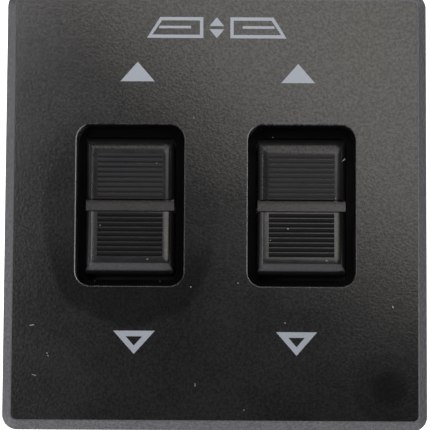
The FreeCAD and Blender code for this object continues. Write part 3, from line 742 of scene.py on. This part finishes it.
def make_symbols(ink):
    """Two mirrored window outlines with a double arrow between them."""
    low, high = SYMBOL_Y
    near, far = SYMBOL_X
    level = low + GLASS_LEVEL * (high - low)
    for name, direction in (("window_symbol_left", -1), ("window_symbol_right", 1)):
        print_shape(name, [window_outline(direction, inset) for inset in (0, SYMBOL_STROKE)], ink)
        left, right = sorted((direction * (near + GLASS_INSET), direction * (far - GLASS_INSET)))
        bar = [(left, level - GLASS_HALF), (right, level - GLASS_HALF),
               (right, level + GLASS_HALF), (left, level + GLASS_HALF)]
        print_shape(name + "_glass", [bar], ink)
    middle = (low + high) / 2
    height = high - middle - TRAVEL_GAP
    for name, direction in (("travel_symbol_up", 1), ("travel_symbol_down", -1)):
        base = middle + direction * TRAVEL_GAP
        print_shape(name, [triangle(0, base, TRAVEL_WIDTH, direction * height)], ink)


def jagged_ring(chance, x, y, length, width, direction):
    """The outline of one speck: a jagged lozenge turned to its direction."""
    turn = Matrix.Rotation(math.radians(direction), 2)
    ring = []
    for index in range(GRAIN_CORNERS):
        angle = 2 * math.pi * index / GRAIN_CORNERS
        reach = chance.uniform(*GRAIN_REACH) / 2
        spoke = turn @ Vector((math.cos(angle) * length * reach, math.sin(angle) * width * reach))
        ring.append((x + spoke.x, y + spoke.y))
    return ring


def make_scratches(material):
    """Small flat grains of dust and scuffs on the face, and pale flat specks on the lips of the wells.
    """
    chance = random.Random(SCRATCH_SEED)

    def build(work):
        for specks, z in ((SCRATCHES, FACE_Z), (WELL_LIP_SPECKS, WELL_LIP_Z)):
            for speck in specks:
                flat_shape(work, [jagged_ring(chance, *speck)], z, GRAIN_THICKNESS)

    new_piece("face_dust_and_well_specks", build, material, "root")


def make_grains(name, body, grains, material):
    """Grains of dust on a rocker's pads, lying on the plane of their crests."""
    chance = random.Random(len(name))

    def build(work):
        for x, y, *size in grains:
            crests = PAD_ROOT + abs(y - ROCKER_Y) * PAD_SLOPE
            flat_shape(work, [jagged_ring(chance, x, y, *size)], crests, GRAIN_THICKNESS)

    new_piece(name, build, material, body)


def smooth_step(value, low, high):
    """0 below low, 1 above high and a smooth rise between."""
    t = min(max((value - low) / (high - low), 0.0), 1.0)
    return t * t * (3 - 2 * t)


def coil_points(radius, bottom, top):
    """The middle line of a spring's wire, with half a turn lying flat at both ends."""
    total = round(SPRING_TURNS * SPRING_STEPS)
    low, high = bottom + SPRING_WIRE, top - SPRING_WIRE
    points = []
    for index in range(total + 1):
        turn = 2 * math.pi * index / SPRING_STEPS
        height = low + (high - low) * smooth_step(index / total, *SPRING_CLIMB)
        points.append(Vector((radius * math.cos(turn), radius * math.sin(turn), height)))
    return points


def sweep_wire(work, points, centre):
    """Round wire along a coil's points, whose axis stands at centre."""
    rings = []
    for index, point in enumerate(points):
        ahead = points[min(index + 1, len(points) - 1)]
        behind = points[max(index - 1, 0)]
        along = (ahead - behind).normalized()
        outward = Vector((point.x, point.y, 0)).normalized()
        upward = along.cross(outward).normalized()
        ring = []
        for step in range(SPRING_WIRE_SIDES):
            turn = 2 * math.pi * step / SPRING_WIRE_SIDES
            spoke = (outward * math.cos(turn) + upward * math.sin(turn)) * SPRING_WIRE
            ring.append(work.verts.new((point + spoke + centre) * MM))
        rings.append(ring)
    for first, second in zip(rings, rings[1:]):
        for step in range(SPRING_WIRE_SIDES):
            after = (step + 1) % SPRING_WIRE_SIDES
            work.faces.new((first[step], first[after], second[after], second[step]))
    work.faces.new(rings[0])
    work.faces.new(rings[-1])


def make_spring(node, material):
    """A round-wire coil in a CAD spring's place."""
    low, high = (Vector(corner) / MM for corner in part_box(node))
    centre = (low + high) / 2
    centre.z = 0
    points = coil_points((high.x - low.x) / 2 - SPRING_WIRE, low.z, high.z)
    piece = new_piece(node + "_coil", lambda work: sweep_wire(work, points, centre),
                      material, "root")
    for face in piece.data.polygons:
        face.use_smooth = True
    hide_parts(node)
    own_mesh(piece)


def make_springs(material):
    """The four return springs."""
    for side in ("left", "right"):
        for end in ("upper", "lower"):
            make_spring("return_spring_" + side + "_" + end, material)


def dress_nodes(frame, finishes):
    """Gives every node of the frame the material of its slot in the record."""
    for part in frame["record"]["subparts"]:
        node = frame["nodes"][part["node"]]
        node.data.materials.clear()
        node.data.materials.append(finishes[part["material_slot"]])


def make_floor():
    """The floor that the part stands on."""
    work = bmesh.new()
    bmesh.ops.create_grid(work, x_segments=1, y_segments=1, size=FLOOR_SIZE_M)
    floor = mesh_object("studio_floor", work, floor_material())
    floor.location.z = FLOOR_Z * MM


def make_world():
    """A studio by height: a low glow, a bright band, a window above it and a faint fill over all."""
    world = bpy.data.worlds.new("studio")
    bpy.context.scene.world = world
    world.use_nodes = True
    graph = Graph(world.node_tree)
    place = graph.node("ShaderNodeTexCoord").outputs["Generated"]
    x, y, z = graph.node("ShaderNodeSeparateXYZ", {0: place}).outputs

    def leaning(strength, lean):
        across = graph.math("MULTIPLY_ADD", x, lean[0], strength)
        return graph.greatest(graph.math("MULTIPLY_ADD", y, lean[1], across), 0.0)

    def stack(edges, lower, upper):
        return graph.mix(graph.fall(z, edges), upper, lower)

    glow = leaning(GLOW_STRENGTH, GLOW_LEAN)
    band = graph.multiply(leaning(BAND_STRENGTH, BAND_LEAN), graph.fall(y, BAND_OPENING))
    window = graph.fall(y, WINDOW_EDGES, WINDOW_STRENGTH)
    light = graph.add(stack(BAND_EDGES, stack(GLOW_EDGES, glow, band), window),
                      leaning(FILL_STRENGTH, FILL_LEAN))
    background = graph.node("ShaderNodeBackground", {"Color": STUDIO_COLOUR, "Strength": light})
    graph.node("ShaderNodeOutputWorld", {"Surface": background.outputs[0]})


def make_lights():
    """A broad soft panel over the plate's upper right and a narrow one along its left."""
    for name, (x, y, width, height, turn, power, colour) in CEILING_PANELS.items():
        data = bpy.data.lights.new(name, "AREA")
        data.shape = "RECTANGLE"
        data.size = width * MM
        data.size_y = height * MM
        data.energy = power
        data.color = colour
        light = bpy.data.objects.new(name, data)
        light.location = Vector((x, y, CEILING_MM)) * MM
        light.rotation_euler.z = math.radians(turn)
        light.visible_camera = False
        bpy.context.scene.collection.objects.link(light)


def make_camera():
    """The camera at the photograph's viewing angle."""
    data = bpy.data.cameras.new("camera")
    data.lens = LENS
    data.sensor_width = SENSOR
    data.clip_start, data.clip_end = CAMERA_CLIP_M
    elevation = math.radians(CAMERA_ELEVATION)
    azimuth = math.radians(CAMERA_AZIMUTH)
    back = Vector((math.sin(azimuth) * math.cos(elevation),
                   -math.cos(azimuth) * math.cos(elevation), math.sin(elevation)))
    right = Vector((0, 1, 0)).cross(back).normalized()
    up = back.cross(right)
    turn = Matrix((right, up, back)).transposed().to_4x4()
    camera = bpy.data.objects.new("camera", data)
    place = Vector(AIM_MM) * MM + back * CAMERA_DISTANCE_MM * MM
    roll = Matrix.Rotation(math.radians(CAMERA_ROLL), 4, "Z")
    camera.matrix_world = Matrix.Translation(place) @ turn @ roll
    bpy.context.scene.collection.objects.link(camera)
    bpy.context.scene.camera = camera


def main():
    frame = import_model()
    make_camera()
    make_floor()
    make_world()
    make_lights()
    finishes = {
        "plate_plastic": plate_plastic(),
        "rocker_plastic": rocker_plastic(),
        "housing_plastic": housing_plastic(),
        "carriage_plastic": carriage_plastic(),
    }
    for name, look in METALS.items():
        finishes[name] = metal(name, *look)
    dress_nodes(frame, finishes)
    ink = print_ink()
    make_arrows(ink)
    make_symbols(ink)
    dust = dust_material()
    make_scratches(dust)
    make_grains("dust_left_rocker", "rocker_left", LEFT_ROCKER_GRAINS, dust)
    make_grains("dust_right_rocker", "rocker_right", RIGHT_ROCKER_GRAINS, dust)
    make_springs(finishes["spring_steel"])
    bpy.context.scene.view_settings.view_transform = "Standard"


main()
